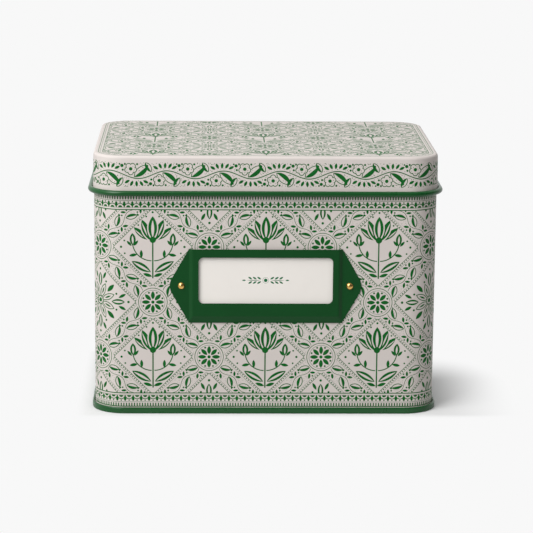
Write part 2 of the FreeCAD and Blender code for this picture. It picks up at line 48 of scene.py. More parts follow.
tin = {
    "cornerRound": 16.0,  # of the wall's outer face
    "sheet": 0.3,
    "hookReach": 1.0,  # from the wall's face to the outside of its folded foot
    "cornerSteps": 24,  # flats in each upright corner
    "bendStep": 15.0,  # degrees turned by each flat of a bend in the sheet
    "longStep": 24.0,  # longest face along a side
    "roundSteps": 40,  # flats round a wire or a rivet
    "bluntShare": 0.3,  # how far in a blunt corner's middle point lies
    "smoothBelow": 32.0,  # degrees; sharper edges stay crisp
}
sheet, cornerRound = tin["sheet"], tin["cornerRound"]
tiny = 0.01  # mm; places closer than this count as one
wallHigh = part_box("body_wall")[1] / mm
halfWidth = wallHigh.x - tin["hookReach"]
halfDepth = wallHigh.y - tin["hookReach"]
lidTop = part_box("lid_shell")[1].z / mm
runX = halfWidth - cornerRound  # half of the straight part of the front
runY = halfDepth - cornerRound
quarter = cornerRound * math.pi / 2
halfGirth = 2 * (runX + runY + quarter)  # from the front's middle round to the back's middle


# Sheet-metal shapes


def outlineAt(along):
    # Place on the wall's outline and the way outwards, along mm to the right of the front's middle
    side = 1 if along >= 0 else -1
    left = abs(along)
    if left <= runX:
        place, out = Vector((left, -halfDepth)), Vector((0, -1))
    elif left <= runX + quarter:
        turn = (left - runX) / cornerRound
        out = Vector((math.sin(turn), -math.cos(turn)))
        place = Vector((runX, -runY)) + out * cornerRound
    elif left <= runX + quarter + 2 * runY:
        place, out = Vector((halfWidth, left - runX - quarter - runY)), Vector((1, 0))
    elif left <= runX + 2 * quarter + 2 * runY:
        turn = (left - runX - quarter - 2 * runY) / cornerRound
        out = Vector((math.cos(turn), math.sin(turn)))
        place = Vector((runX, runY)) + out * cornerRound
    else:
        place, out = Vector((halfGirth - left, halfDepth)), Vector((0, 1))
    return Vector((side * place.x, place.y)), Vector((side * out.x, out.y))


def behind(x):
    # Where the back of the tin has this x, as mm along the outline
    return math.copysign(halfGirth, x) - x


def placesRound(extra=()):
    # Places along the whole outline, from the back's middle round to it again
    found = {0.0, *extra}
    for start in (runX, runX + quarter + 2 * runY):
        for step in range(tin["cornerSteps"] + 1):
            found.add(start + quarter * step / tin["cornerSteps"])
    for low, high in ((0, runX), (runX + quarter, runX + quarter + 2 * runY), (halfGirth - runX, halfGirth)):
        steps = math.ceil((high - low) / tin["longStep"])
        found.update(low + (high - low) * step / steps for step in range(steps + 1))
    both = {round(place, 4) for place in found} | {round(-place, 4) for place in found if place not in extra}
    return sorted(place for place in both if place < halfGirth - tiny)


def arcLine(centre, radius, start, sweep):
    # Points of an arc with the heading at each, in degrees anticlockwise
    steps = max(2, math.ceil(abs(sweep) / tin["bendStep"]))
    points = []
    for step in range(steps + 1):
        turn = math.radians(start + sweep * step / steps)
        out = Vector((math.cos(turn), math.sin(turn)))
        heading = Vector((-out.y, out.x)) * math.copysign(1, sweep)
        points.append((Vector(centre) + out * radius, heading))
    return points


def bentLine(*corners):
    # Points of a line with round bends; a corner is (across, up, radius)
    spots = [Vector(corner[:2]) for corner in corners]
    headings = [(after - before).normalized() for before, after in zip(spots, spots[1:])]
    points = [(spots[0], headings[0])]
    for spot, corner, before, after in zip(spots[1:], corners[1:], headings, headings[1:]):
        radius = corner[2]
        turn = math.atan2(before.x * after.y - before.y * after.x, before.dot(after))
        way = math.copysign(1, turn)
        start = spot - before * radius * math.tan(abs(turn) / 2)
        centre = start + Vector((-before.y, before.x)) * radius * way
        back = start - centre
        angle = math.degrees(math.atan2(back.y, back.x))
        points += arcLine(centre, radius, angle, math.degrees(turn))
    points.append((spots[-1], headings[-1]))
    pairs = zip(points, points[1:])
    return points[:1] + [after for before, after in pairs if (after[0] - before[0]).length > tiny]


def sheetFaces(line, side):
    # The line's points and those on the sheet's other face, which is to the line's left (1) or right (-1)
    other = [spot + Vector((-heading.y, heading.x)) * side * sheet for spot, heading in line]
    return [spot for spot, heading in line], other


def splitAt(chain, level):
    # A chain of (across, up, finish) with a point added wherever it crosses this height
    made = [chain[0]]
    for before, after in zip(chain, chain[1:]):
        low, high = sorted((before[1], after[1]))
        if low + tiny < level < high - tiny:
            share = (level - before[1]) / (after[1] - before[1])
            made.append((before[0] + (after[0] - before[0]) * share, level, before[2]))
        made.append(after)
    return made


def addObject(name, data):
    thing = bpy.data.objects.new(name, data)
    scene.collection.objects.link(thing)
    return thing


def addPiece(name, points, faces, finishes, materials, wraps=None):
    # A mesh of points in mm; wraps holds each corner's place on the print
    mesh = bpy.data.meshes.new(name)
    mesh.from_pydata([tuple(c * mm for c in point) for point in points], [], faces)
    for material in materials:
        mesh.materials.append(material)
    mesh.polygons.foreach_set("material_index", finishes)
    if wraps:
        layer = mesh.attributes.new("wrap", "FLOAT_VECTOR", "CORNER")
        layer.data.foreach_set("vector", [c for wrap in wraps for spot in wrap for c in (*spot, 0.0)])
    mesh.validate(clean_customdata=False)
    mesh.shade_smooth()
    mesh.set_sharp_from_angle(angle=math.radians(tin["smoothBelow"]))
    piece = addObject(name, mesh)
    piece.modifiers.new("evenShading", "WEIGHTED_NORMAL").keep_sharp = True
    form = bmesh.new()
    form.from_mesh(mesh)
    bmesh.ops.recalc_face_normals(form, faces=form.faces)  # every face looks outwards
    form.to_mesh(mesh)
    form.free()
    return piece


def roundTheTin(
    name, chain, places, materials, closed=False, caps=(), notches=(), notchTop=0, dent=None, flat=()
):
    # Sweeps a chain of (across, up, finish) round the tin; flat finishes are printed by x and y
    points, faces, finishes, wraps = [], [], [], []
    count, size = len(places), len(chain)
    for along in places:
        place, out = outlineAt(along)
        for across, up, finish in chain:
            reach = across + (dent(along, across, up) if dent else 0)
            points.append((*(place + out * reach), up))
    below = [index for index, point in enumerate(chain) if point[1] <= notchTop + tiny]

    def addFace(corners, finish, where):
        faces.append(corners)
        finishes.append(finish)
        wraps.append([points[corner][:2] for corner in corners] if finish in flat else where)

    def inNotch(low, high):
        return any(start - tiny <= low and high <= end + tiny for start, end in notches)

    for column, low in enumerate(places):
        nextColumn = (column + 1) % count
        high = places[nextColumn] if nextColumn else halfGirth
        here, there = column * size, nextColumn * size
        gap = inNotch(low, high)
        for row in range(size if closed else size - 1):
            nextRow = (row + 1) % size
            if gap and row in below and nextRow in below:
                continue
            corners = (here + row, there + row, there + nextRow, here + nextRow)
            foot, head = chain[row][1], chain[nextRow][1]
            addFace(corners, chain[row][2], ((low, foot), (high, foot), (high, head), (low, head)))
        if gap:
            first, last = below[0], below[-1]
            corners = (here + first, there + first, there + last, here + last)
            addFace(corners, chain[first][2], [(along, notchTop) for along in (low, high, high, low)])
    for start, end in notches:
        for edge in (start, end):
            column = min(range(count), key=lambda index: abs(places[index] - edge))
            corners = [column * size + row for row in below]
            addFace(corners, chain[below[0]][2], [(edge, chain[row][1]) for row in below])
    for row, finish in caps:
        corners = [column * size + row for column in range(count)]
        addFace(corners, finish, [(0, 0)] * count)
    return addPiece(name, points, faces, finishes, materials, wraps)


def solidThrough(name, loops, material):
    # A closed solid through loops that have the same number of points
    size, last = len(loops[0]), (len(loops) - 1) * len(loops[0])
    faces = []
    for here in range(0, last, size):
        for step in range(size):
            after = (step + 1) % size
            faces.append((here + step, here + after, here + size + after, here + size + step))
    faces += [tuple(range(size)), tuple(range(last, last + size))]
    points = [point for loop in loops for point in loop]
    return addPiece(name, points, faces, [0] * len(faces), [material])


def turned(name, profile, place, axis, material):
    # Turns (radius, along) points about an axis through a place
    side = Vector((0, 0, 1))
    across = axis.cross(side)
    turns = [2 * math.pi * step / tin["roundSteps"] for step in range(tin["roundSteps"])]
    ways = [side * math.cos(turn) + across * math.sin(turn) for turn in turns]
    loops = [[place + axis * along + way * radius for way in ways] for radius, along in profile]
    return solidThrough(name, loops, material)


# Print: distance fields drawn by nodes. A field is the distance to a shape's edge in mm, below 0 inside it.


fineLine = 0.26  # half the width of a drawn outline, in mm


def linkedNode(tree, kind, inputs=None, **settings):
    node = tree.nodes.new(kind)
    for name, value in settings.items():
        setattr(node, name, value)
    for name, value in (inputs or {}).items():
        if isinstance(value, bpy.types.NodeSocket):
            tree.links.new(value, node.inputs[name])
        else:
            node.inputs[name].default_value = value
    return node


class Field:
    def __init__(self, tree, socket):
        self.tree, self.socket = tree, socket

    def math(self, operation, *others, clamp=False):
        node = self.tree.nodes.new("ShaderNodeMath")
        node.operation, node.use_clamp = operation, clamp
        for slot, item in zip(node.inputs, (self, *others)):
            if isinstance(item, Field):
                self.tree.links.new(item.socket, slot)
            else:
                slot.default_value = item
        return Field(self.tree, node.outputs[0])

    def __add__(self, other):
        return self.math("ADD", other)

    def __sub__(self, other):
        return self.math("SUBTRACT", other)

    def __mul__(self, other):
        return self.math("MULTIPLY", other)

    def __neg__(self):
        return self * -1

    def __or__(self, other):  # either shape
        return self.math("MINIMUM", other)

    def __and__(self, other):  # where both shapes are
        return self.math("MAXIMUM", other)

    def size(self):
        return self.math("ABSOLUTE")

    def band(self, low, high):  # between two values
        return (self - (low + high) / 2).size() - (high - low) / 2

    def line(self, halfWide):  # a shape's outline
        return self.size() - halfWide

    def folded(self, period):  # repeated, with 0 in the middle of each repeat
        return self.math("WRAP", period / 2, -period / 2)

    def ink(self, soft=0.05):  # 1 inside the shape and 0 outside, drawn one softness thinner
        return self.math("MULTIPLY_ADD", -1 / soft, -0.5, clamp=True)


class Spot:
    # A place on the print, in mm
    def __init__(self, tree, socket):
        self.tree, self.socket = tree, socket

    def vector(self, operation, other=(0, 0, 0)):
        inputs = {0: self.socket, 1: other}
        return linkedNode(self.tree, "ShaderNodeVectorMath", inputs, operation=operation)

    def reach(self):  # how far from the origin
        return Field(self.tree, self.vector("LENGTH").outputs["Value"])

    def disc(self, x, y, radius):
        return Field(self.tree, self.vector("DISTANCE", (x, y, 0)).outputs["Value"]) - radius

    def leaf(self, x, y, turn, length, width, half=0):
        # Pointed at both ends, with its middle at (x, y) and its length turned from upright.
        # A half of 1 or -1 keeps that half alone.
        bow = (length ** 2 + width ** 2) / (4 * width)
        inputs = {"Vector": self.socket, "Location": (x, y, 0), "Rotation": (0, 0, math.radians(turn))}
        node = linkedNode(self.tree, "ShaderNodeMapping", inputs, vector_type="TEXTURE")
        own = Spot(self.tree, node.outputs[0])
        folded = Spot(self.tree, own.vector("ABSOLUTE").outputs["Vector"])
        shape = folded.disc(width / 2 - bow, 0, bow)
        return shape & partsOf(self.tree, own.socket, "X")[0] * -half if half else shape

    def marks(self, *shapes):  # discs of three numbers and leaves of five
        return reduce(Field.__or__, [(self.leaf if shape[3:] else self.disc)(*shape) for shape in shapes])

    def drawnLeaf(self, x, y, turn, length, width, half=1):
        # An outline with one half solid
        outline = self.leaf(x, y, turn, length, width).line(fineLine)
        return outline | self.leaf(x, y, turn, length, width, half)

    def arc(self, x, y, radius, middle, reach, halfWide):
        # A stroke along a circle, reach degrees to each side of its middle direction
        turn = math.radians(middle)
        size = 2 * radius * math.sin(math.radians(reach) / 2)
        end = self.disc(x + radius * math.cos(turn), y + radius * math.sin(turn), size)
        return self.disc(x, y, radius).line(halfWide) & end


def partsOf(tree, place, names="XYZ"):
    parts = linkedNode(tree, "ShaderNodeSeparateXYZ", {"Vector": place})
    return [Field(tree, parts.outputs[name]) for name in names]


def joinSpot(tree, x, y):
    return Spot(tree, linkedNode(tree, "ShaderNodeCombineXYZ", {"X": x.socket, "Y": y.socket}).outputs[0])


def printGroup(name):
    # A node group from a place on the print to its ink
    tree = bpy.data.node_groups.new(name, "ShaderNodeTree")
    tree.interface.new_socket("Place", in_out="INPUT", socket_type="NodeSocketVector")
    tree.interface.new_socket("Ink", in_out="OUTPUT", socket_type="NodeSocketFloat")

    def finish(shape):
        linkedNode(tree, "NodeGroupOutput", {"Ink": shape.ink().socket})
        return tree

    return tree, *partsOf(tree, tree.nodes.new("NodeGroupInput").outputs["Place"], "XY"), finish


def stipple(tree, x, y, apart, size):
    # Scattered dots
    inputs = {"Vector": joinSpot(tree, x, y).socket, "Scale": 1 / apart}
    node = linkedNode(tree, "ShaderNodeTexVoronoi", inputs, voronoi_dimensions="2D")
    return Field(tree, node.outputs["Distance"]) * apart - size


trellis = {
    "repeat": halfGirth / 5,  # ten diamonds round the tin
    "bandHalf": 6.4,
    "bandLine": 0.36,
    "toothHigh": 0.8,
    "toothHalf": 0.22,  # as a share of its step
    "teeth": 15,  # in half a diamond's side
    "innerLine": 4.95,
    "innerWide": 0.24,
    "vineHalf": 4.5,
    "waveHigh": 1.3,
    "stemHalf": 0.19,
    "dotsApart": 0.95,
    "dotSize": 0.15,
    "dotGap": 0.3,  # round the leaves
    "medallion": 7.4,
    "medallionGap": 0.6,
}


def tulipSprig(spot, x, y):
    # A flower on a leafy stem with two buds, for the half where x > 0
    heart = spot.leaf(0, 10.0, 0, 12.2, 4.6)
    side = spot.leaf(3.5, 8.9, -21, 11.6, 3.9)
    wing = spot.leaf(6.2, 7.0, -47, 9.8, 3.1)
    shape = (x - 0.4) & y.band(-16.6, 4)
    shape |= heart & -spot.leaf(0, 9.4, 0, 8.8, 1.4)
    shape |= side & -(heart - 0.5) & -spot.leaf(4.2, 9.3, -22, 7.0, 0.6)
    shape |= wing & -(side - 0.5) & -spot.leaf(6.9, 6.9, -48, 5.4, 0.5)
    shape |= spot.leaf(10.3, 3.9, -3, 6.7, 3.2) & -spot.leaf(10.3, 3.7, -3, 4.2, 0.9)
    shape |= spot.leaf(5.9, -10.4, -60, 11.6, 3.8) & -spot.leaf(5.8, -10.5, -60, 9.4, 1.1)
    shape |= spot.arc(0.5, 2.6, 9.9, -48, 41, 0.32)
    shape |= spot.marks((8.6, 2.0, 38, 3.7, 1.4), (12.1, 1.8, -42, 3.7, 1.4), (5.9, -3.7, -2, 4.3, 1.7))
    shape |= spot.marks((10.1, -4.3, -100, 4.3, 1.7), (2.7, -14.8, -72, 5, 1.8), (0, 3.7, 1.7))
    shape |= spot.marks((0, 18.1, 0.6), (3.3, 15.9, 0.5), (7.4, 11.4, 0.5), (14.6, 3.3, 0.5))
    return shape | spot.marks((16.3, 0, 0.65), (14.4, -3.4, 0.5))


def starFlower(spot):
    # A round flower the same in eight ways, in the corner x >= y >= 0
    petal = spot.leaf(5.3, 2.2, -67.5, 7.7, 2.9)
    shape = petal.line(fineLine) | (petal + 0.95) | spot.disc(0, 0, 2.2).line(fineLine)
    shape |= spot.leaf(11.1, 0, 90, 7.2, 3.1) & -spot.leaf(11.1, 0, 90, 5.6, 1.0)
    shape |= spot.marks((7.0, 7.0, -45, 5.7, 2.3), (13.3, 3.2, -62, 4.4, 1.6))
    return shape | spot.marks((0, 0, 1.2), (16.5, 0, 0.7), (10.2, 4.2, 0.6))


def wavyRun(tree, along, across, step):
    # Coordinates in one bend of a wavy stem, of which every second one is turned over
    turns = along * (1 / step)
    number = turns.math("FLOOR")
    flip = number.math("FLOORED_MODULO", 2.0).math("MULTIPLY_ADD", -2.0, 1.0)
    return (turns - number) * step, across * flip


def runningLeaves(tree, along, across, step, dotSize):
    # A wavy stem with a drawn leaf, solid leaves and berries in each bend
    s, t = wavyRun(tree, along, across, step)
    wave = (s * (math.pi / step)).math("SINE") * trellis["waveHigh"]
    spot = joinSpot(tree, s, t)
    shape = (t - wave).size() - trellis["stemHalf"]
    shape |= spot.drawnLeaf(step * 0.52, -1.8, 58, 5.8, 2.6)
    shape |= spot.marks((step * 0.68, 3.0, -52, 3.2, 1.4), (step * 0.3, 2.9, 42, 3.0, 1.3))
    shape |= spot.marks((step * 0.97, -3.3, 0.7), (step * 0.06, 2.2, 0.5), (step * 0.49, 4.1, 0.5))
    dots = stipple(tree, along, across, trellis["dotsApart"], dotSize)
    return shape | (dots & -(shape - trellis["dotGap"]))


def makeTrellisPrint(name, look):
    # Diamonds of plain ground with flowers, between bands of running leaves
    tree, x, y, finish = printGroup(name)
    repeat = trellis["repeat"]
    half, side = repeat / 2, repeat / math.sqrt(8)
    cellX, cellY = x.folded(repeat), y.folded(repeat)
    foldX, foldY = cellX.size(), cellY.size()
    shape = tulipSprig(joinSpot(tree, foldX, cellY), foldX, cellY)
    farX, farY = (foldX - half).size(), (foldY - half).size()
    shape |= starFlower(joinSpot(tree, farX & farY, farX | farY))
    across = (foldX + foldY - half) * math.sqrt(0.5)
    along = (foldY - foldX) * math.sqrt(0.5)
    off = across.size()
    lineFoot = trellis["bandHalf"] - look["bandLine"]
    shape |= off.band(lineFoot, trellis["bandHalf"])
    tooth = side / trellis["teeth"]
    teeth = along.folded(tooth).size() - tooth * trellis["toothHalf"]
    shape |= teeth & off.band(lineFoot - trellis["toothHigh"], lineFoot)
    shape |= off.band(trellis["innerLine"] - trellis["innerWide"], trellis["innerLine"])
    vine = runningLeaves(tree, along, across, side / 3, look["dotSize"])
    shape |= vine & (off - trellis["vineHalf"])
    end = joinSpot(tree, along.size() - side, off)
    middle = end.disc(0, 0, trellis["medallion"])
    shape &= -(middle - trellis["medallionGap"])
    rosette = end.marks((0, 0, 0.9), (-4.9, 2.03, 0.55), (-3.6, 0, 90, 4.5, 2.1), (-2.55, 2.55, 45, 4.5, 2.1))
    return finish(shape | rosette | middle.line(0.22) | (middle + 1.15).line(0.14))


frieze = {
    "middle": 126.1,
    "half": 6.3,
    "waveHigh": 2.0,
    "stemHalf": 0.32,
    "flower": (3.4, -3.0, 1.75, 1.35),  # its middle, then its petals' distance and radius
    "fan": ((1.6, 3.6, 58), (3.9, 4.5, 27), (6.4, 4.7, -4), (8.9, 4.6, -34), (11.1, 3.7, -62)),
    "berries": ((13.5, 4.7, 0.9), (12.3, 5.5, 0.5), (13.9, 2.5, 0.6), (0.4, -5.5, 0.6), (6.7, -5.4, 0.6)),
    "dotSize": 0.24,
    "dotGap": 0.4,
}


def makeFriezePrint():
    # Running leaves, flowers and berries round the lid
    tree, x, y, finish = printGroup("friezePrint")
    step = trellis["repeat"] / 4
    height = y - frieze["middle"]
    s, t = wavyRun(tree, x, height, step)
    spot = joinSpot(tree, s, t)
    wave = (s * (math.pi / step)).math("SINE") * frieze["waveHigh"]
    shape = ((t - wave).size() - frieze["stemHalf"]) * 0.9  # the field is steeper where the wave climbs
    shape |= spot.drawnLeaf(8.7, -1.9, 50, 9.0, 4.0) | spot.drawnLeaf(12.4, -3.9, -32, 5.4, 2.6, -1)
    flowerX, flowerY, out, petal = frieze["flower"]
    turns = [math.radians(90 + 72 * number) for number in range(5)]
    petals = [(flowerX + out * math.cos(turn), flowerY + out * math.sin(turn), petal) for turn in turns]
    flower = spot.marks(*petals)
    shape = (shape & -(flower - 0.3)) | flower.line(fineLine) | spot.disc(flowerX, flowerY, 0.95)
    shape |= spot.marks(*[(*leaf, 3.2, 1.5) for leaf in frieze["fan"]], *frieze["berries"])
    dots = stipple(tree, x, y, 1.0, frieze["dotSize"])
    dots = dots & -(shape - frieze["dotGap"])
    return finish((shape | dots) & (height.size() - frieze["half"]))


borders = {
    "inner": 10.8,
    "outer": 107.83,
    "depth": 7.5,
    "lines": ((-0.25, 0.35), (0.95, 1.2), (4.65, 4.95)),
    "scallopFoot": 1.2,
    "scallop": 2.0,
    "toothHalf": 0.27,  # as a share of its step
    "teeth": (5.3, 7.0),
    "solidFrom": 6.9,
}


def makeBorderPrint():
    # Scallops, teeth and lines along the wall's foot and head; y is the distance out from the trellis
    tree, x, y, finish = printGroup("borderPrint")
    step = trellis["repeat"] / 14
    near = x.folded(step)
    spot = joinSpot(tree, near, y)
    foot = borders["scallopFoot"]
    shape = spot.disc(0, foot, borders["scallop"]).line(fineLine) & y.band(foot, 3.5)
    shape |= spot.disc(0, foot, 1.15) & y.band(foot, 3)
    for low, high in borders["lines"]:
        shape |= y.band(low, high)
    between = joinSpot(tree, near.size() - step / 2, y)
    shape |= between.leaf(0, 3.1, 0, 2.8, 1.5) | spot.disc(0, 3.95, 0.42)
    tooth = step / 3
    teeth = (x.folded(tooth).size() - tooth * borders["toothHalf"]) & y.band(*borders["teeth"])
    shape |= teeth | y.band(borders["solidFrom"], borders["depth"])
    return finish(shape & y.band(-0.3, borders["depth"]))


# Finishes


def newMaterial(name, specular=0.5):
    # Gives the place on the object too, in metres
    material = bpy.data.materials.new(name)
    material.use_nodes = True
    tree = material.node_tree
    shader = tree.nodes["Principled BSDF"]
    shader.inputs["Specular IOR Level"].default_value = specular
    return material, tree, shader, linkedNode(tree, "ShaderNodeTexCoord").outputs["Object"]


def colour(red, green, blue):
    # From the 0 to 255 numbers of a picture to Blender's linear ones
    parts = [c / 255 for c in (red, green, blue)]
    return (*[c / 12.92 if c <= 0.04045 else ((c + 0.055) / 1.055) ** 2.4 for c in parts], 1.0)


def mixed(tree, share, first, second):
    # Two colours, by the second one's share
    inputs = {"Fac": share.socket, "Color1": first, "Color2": second}
    return linkedNode(tree, "ShaderNodeMixRGB", inputs).outputs[0]


def noiseAt(tree, place, scale, detail):
    inputs = {"Vector": place, "Scale": scale, "Detail": detail}
    return linkedNode(tree, "ShaderNodeTexNoise", inputs).outputs["Fac"]


def shiftedTone(tree, base, place, scale, amount):
    # A colour made slightly lighter and darker in soft patches
    span = {"From Min": 0.3, "From Max": 0.7, "To Min": 1 - amount, "To Max": 1 + amount}
    level = linkedNode(tree, "ShaderNodeMapRange", {"Value": noiseAt(tree, place, scale, 2.0), **span})
    return linkedNode(tree, "ShaderNodeHueSaturation", {"Value": level.outputs[0], "Color": base}).outputs[0]


def unevenGloss(tree, shader, place, scale, low, high):
    inputs = {"Value": noiseAt(tree, place, scale, 3.0), "To Min": low, "To Max": high}
    tree.links.new(linkedNode(tree, "ShaderNodeMapRange", inputs).outputs[0], shader.inputs["Roughness"])


def fineBump(tree, shader, place, scale, depth, detail=2.0):
    # Depth is in metres
    inputs = {"Height": noiseAt(tree, place, scale, detail), "Distance": depth}
    tree.links.new(linkedNode(tree, "ShaderNodeBump", inputs).outputs["Normal"], shader.inputs["Normal"])


litho = {
    "ground": colour(209, 201, 196),
    "groundPatches": (30, 0.012),  # scale and strength
    "ink": colour(12, 93, 32),
    "inkPatches": (160, 0.12),
    "specular": 0.15,
    "gloss": (0.42, 0.52),
    "glossGrain": 60,
    "peel": (700, 0.000004),  # scale and height of the lacquer's faint unevenness
}


def printedMaterial(name, drawInk):
    # Lacquered print on pale enamel
    material, tree, shader, place = newMaterial(name, litho["specular"])
    ink = drawInk(tree, linkedNode(tree, "ShaderNodeAttribute", attribute_name="wrap").outputs["Vector"])
    ground = shiftedTone(tree, litho["ground"], place, *litho["groundPatches"])
    green = shiftedTone(tree, litho["ink"], place, *litho["inkPatches"])
    tree.links.new(mixed(tree, ink, ground, green), shader.inputs["Base Color"])
    unevenGloss(tree, shader, place, litho["glossGrain"], *litho["gloss"])
    fineBump(tree, shader, place, *litho["peel"])
    return material


def inkOf(tree, group, place):
    node = linkedNode(tree, "ShaderNodeGroup", node_tree=group)
    tree.links.new(place, node.inputs["Place"])
    return Field(tree, node.outputs["Ink"])


def wallInk(tree, wrap):
    # Trellis in the middle, borders above and below
    along, up = partsOf(tree, wrap, "XY")
    middle = (borders["inner"] + borders["outer"]) / 2
    shifted = joinSpot(tree, along, up - (middle + trellis["repeat"] / 2))
    diamonds = inkOf(tree, makeTrellisPrint("wallTrellis", trellis), shifted.socket)
    out = (up - middle).size() - (borders["outer"] - borders["inner"]) / 2
    edges = inkOf(tree, makeBorderPrint(), joinSpot(tree, along, out).socket)
    return (diamonds * out.math("LESS_THAN", 0.0) + edges).math("MINIMUM", 1.0)


def friezeInk(tree, wrap):
    return inkOf(tree, makeFriezePrint(), wrap)


lidPrint = {
    "edgeGap": 2.3,  # from the lid's edge to the outer line
    "lines": ((0.0, 0.2), (0.9, 0.13), (2.2, 0.18)),  # how far inside it each line lies, and half its width
    "bandLine": 0.9,
    "dotSize": 0.0,
}


def lidInk(tree, wrap):
    # The trellis again, inside lines that follow the lid's edge
    x, y = partsOf(tree, wrap, "XY")
    outX, outY = x.size() - runX, y.size() - runY
    reach = joinSpot(tree, outX & 0.0, outY & 0.0).reach()
    edge = reach + ((outX & outY) | 0.0) - (cornerRound - lidPrint["edgeGap"])
    diamonds = inkOf(tree, makeTrellisPrint("lidTrellis", lidPrint), wrap)
    inside = edge.math("LESS_THAN", -lidPrint["lines"][-1][0])
    lines = reduce(Field.__or__, [(edge + inwards).line(half) for inwards, half in lidPrint["lines"]])
    return (diamonds * inside + lines.ink()).math("MINIMUM", 1.0)


enamel = {"patches": 45, "glossGrain": 80, "peel": (900, 0.000005)}


def enamelMaterial(name, base, gloss, specular, tone=0.05):
    material, tree, shader, place = newMaterial(name, specular)
    tree.links.new(shiftedTone(tree, base, place, enamel["patches"], tone), shader.inputs["Base Color"])
    unevenGloss(tree, shader, place, enamel["glossGrain"], *gloss)
    fineBump(tree, shader, place, *enamel["peel"])
    return material


metal = {"patches": (60, 0.05), "bumpGrain": 3}  # the bump is this many times finer than the gloss


def metalMaterial(name, base, gloss, grain, depth, stretch=(1, 1, 1)):
    material, tree, shader, place = newMaterial(name)
    place = linkedNode(tree, "ShaderNodeMapping", {"Vector": place, "Scale": stretch}).outputs["Vector"]
    tree.links.new(shiftedTone(tree, base, place, *metal["patches"]), shader.inputs["Base Color"])
    shader.inputs["Metallic"].default_value = 1.0
    unevenGloss(tree, shader, place, grain, *gloss)
    fineBump(tree, shader, place, grain * metal["bumpGrain"], depth)
    return material


paper = {
    "tone": colour(237, 232, 226),
    "patches": (90, 0.01),
    "ink": colour(24, 104, 62),
    "windowUp": 2.9,  # the window's middle above the card's
    "frameHalf": (33.0, 10.4),
    "frameLine": 0.15,
    "frameTone": colour(150, 140, 130),
    "frameStrength": 0.12,
    "roughness": 0.85,
    "specular": 0.2,
    "fibres": (2200, 0.00002),
}


def cardMaterial():
    # Uncoated card with fibres and a small printed leaf spray in its middle
    material, tree, shader, place = newMaterial("labelCard", paper["specular"])
    middle = (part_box("label_card")[0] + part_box("label_card")[1]) / 2
    x, z = (part * (1 / mm) for part in partsOf(tree, place, "XZ"))
    y = z - (middle.z / mm + paper["windowUp"])
    spot = joinSpot(tree, x.size(), y)
    spray = spot.disc(0, 0, 1.55).line(0.14)
    spray |= spot.marks((0, 0, 1.0), (6.2, 0, 90, 8.6, 0.5), (11.2, 0, 90, 2.2, 0.9))
    for leafX in (3.4, 5.7, 8.0):
        spray |= spot.marks((leafX, 1.15, -58, 2.6, 1.05), (leafX, -1.15, -122, 2.6, 1.05))
    halfX, halfY = paper["frameHalf"]
    frameLine = (x.size() - halfX & y.size() - halfY).line(paper["frameLine"])
    faint = frameLine.ink(0.12) * paper["frameStrength"]
    tone = shiftedTone(tree, paper["tone"], place, *paper["patches"])
    printed = mixed(tree, spray.ink(0.08), tone, paper["ink"])
    tree.links.new(mixed(tree, faint, printed, paper["frameTone"]), shader.inputs["Base Color"])
    shader.inputs["Roughness"].default_value = paper["roughness"]
    fineBump(tree, shader, place, *paper["fibres"], detail=4.0)
    return material


print("finishes")
wallPrint = printedMaterial("wallPrint", wallInk)
skirtPrint = printedMaterial("lidFrieze", friezeInk)
topPrint = printedMaterial("lidTopPrint", lidInk)
plainGround = enamelMaterial("paleEnamel", litho["ground"], (0.34, 0.44), 0.25, 0.012)
greenEnamel = enamelMaterial("greenEnamel", colour(6, 75, 27), (0.24, 0.32), 0.4)
holderEnamel = enamelMaterial("holderEnamel", colour(4, 68, 25), (0.3, 0.4), 0.22)
bareTin = metalMaterial("bareTinplate", (0.72, 0.71, 0.69, 1), (0.28, 0.4), 220, 0.000003)
rolledTin = metalMaterial("rolledTin", (0.66, 0.66, 0.65, 1), (0.3, 0.42), 300, 0.000004)
drawnWire = metalMaterial("drawnWire", (0.5, 0.5, 0.5, 1), (0.25, 0.4), 500, 0.000004, (0.1, 1, 1))
brass = metalMaterial("polishedBrass", (0.8, 0.48, 0.15, 1), (0.2, 0.3), 400, 0.000002)
labelPaper = cardMaterial()

# Wall: folded foot, printed face, step, neck and folded rim

print("wall")
wall = {
    "footOut": 0.7,  # the foot's inner face, out from the wall
    "footTop": 2.7,
    "footBottom": 0.8,
    "footRound": 0.35,
    "stepStart": 117.52,
    "stepLean": 60.0,
    "stepRound": 0.9,
    "neckInset": 1.6,
    "neckRound": 0.6,
    "rimTop": 135.05,
    "rimRound": 0.45,
    "rimFoot": 130.6,
    "printGap": 0.5,  # from the print's end to the step
    "grooveX": 2.0,  # the side seam's line on the back
    "grooveWide": 0.4,
    "grooveBank": (0.03, 0.05),  # how far its sloping sides reach out and in
    "grooveDeep": 0.12,
    "grooveTop": 116.2,
    "lockHalf": 2.0,  # the seam itself, inside the wall
    "lockThick": 0.9,
    "lockSunk": 0.02,  # into the wall
    "lockEdge": 0.25,
    "lockFoot": 6.6,
    "lockTop": 114.5,
    "lockTaper": 2.4,  # where its top end is hammered flat
    "lockEnd": 0.2,  # what is left of its thickness there
}
wallPrinted, wallPlain, wallInside = range(3)  # in the order of makeWall's materials


def wallFinish(face, up):
    if face == "inside":
        return wallInside
    return wallPrinted if up < wall["stepStart"] - wall["printGap"] else wallPlain


def closedSheet(line, side, finishOf):
    # A closed chain: one face of a bent sheet, then the other backwards
    near, far = sheetFaces(line, side)
    chain = [(*spot, finishOf("outside", spot.y)) for spot in near]
    return chain + [(*spot, finishOf("inside", spot.y)) for spot in reversed(far)]


